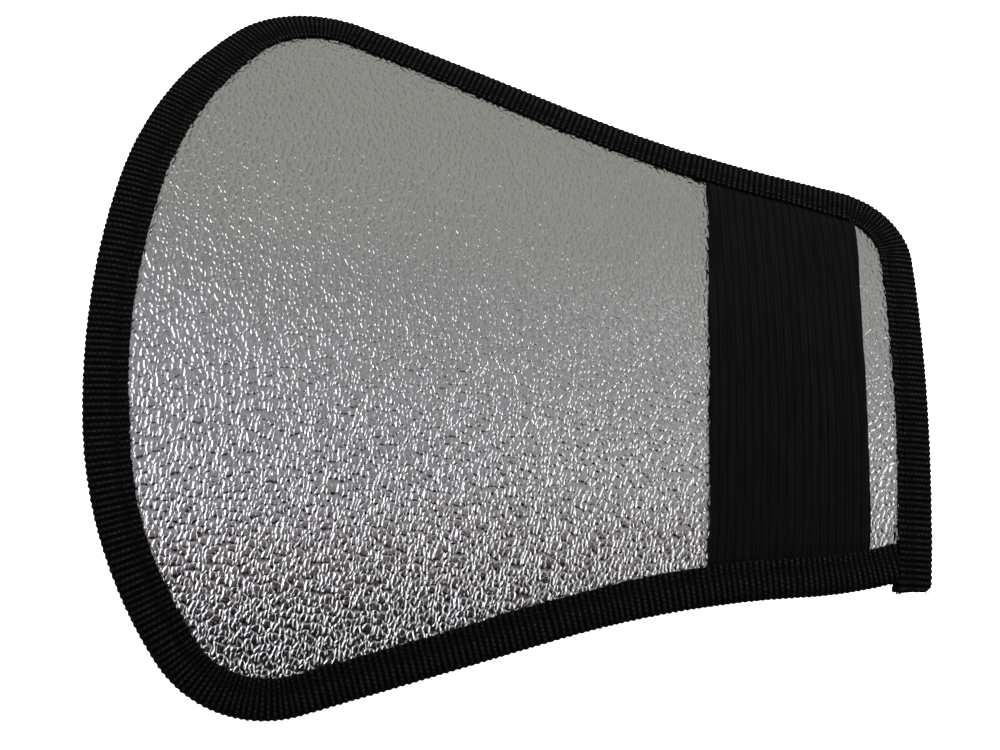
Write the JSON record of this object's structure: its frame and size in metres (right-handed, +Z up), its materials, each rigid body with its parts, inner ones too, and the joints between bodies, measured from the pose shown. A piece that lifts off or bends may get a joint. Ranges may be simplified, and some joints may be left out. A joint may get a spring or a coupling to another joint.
{
  "type": "flash bounce card",
  "caption": "Flexible two-sided bounce card for a camera flash: paddle shape, silver and white faces, ribbed edge binding, elastic bands that hold it to the flash head.",
  "frame": {"origin": "centre of the part's footprint on the surface it lies on", "axes": "+X from the wide end to the narrow end along the card, +Y across it, +Z up out of the silver side"},
  "size_m": [0.2494, 0.2214, 0.0278],
  "materials": {
    "core": "bare closed-cell stiffener sheet, hidden between the faces",
    "silver": "metallised film embossed with a fine pebble grain, glossy",
    "white": "matt white plain-weave fabric",
    "tape": "black ribbed binding tape, ribs across the tape",
    "elastic": "black woven elastic, ribs along its length",
    "thread": "black polyester sewing thread with a slight sheen"
  },
  "bodies": {
    "neck": {"core_sheet_neck": "core", "silver_face_neck": "silver", "white_face_neck": "white", "binding_start": "tape", "binding_finish": "tape", "needle_thread_start": "thread", "needle_thread_finish": "thread", "bobbin_thread_start": "thread", "bobbin_thread_finish": "thread", "front_band_end_near": "elastic", "front_band_end_far": "elastic", "front_band_thread_near": "thread", "front_band_thread_far": "thread", "rear_band_end_near": "elastic", "rear_band_end_far": "elastic", "rear_band_thread_near": "thread", "rear_band_thread_far": "thread"},
    "paddle": {"core_sheet_paddle": "core", "silver_face_paddle": "silver", "white_face_paddle": "white", "binding_paddle": "tape", "needle_thread_paddle": "thread", "bobbin_thread_paddle": "thread"},
    "front_band": {"front_band": "elastic"},
    "rear_band": {"rear_band": "elastic"}
  },
  "joints": [
    {"name": "card_flex", "type": "hinge", "parent": "neck", "child": "paddle", "pos_m": [0.02462, 0, 0.01071], "axis": [0, 1, 0], "range_deg": [-30, 30], "stiffness_Nm_per_rad": 0.8},
    {"name": "front_band_stretch", "type": "slide", "parent": "neck", "child": "front_band", "axis": [0.0658, 0, 0.9978], "range_m": [0, 0.045], "stiffness_N_per_m": 300},
    {"name": "rear_band_stretch", "type": "slide", "parent": "neck", "child": "rear_band", "axis": [-0.0658, 0, -0.9978], "range_m": [0, 0.045], "stiffness_N_per_m": 300}
  ]
}
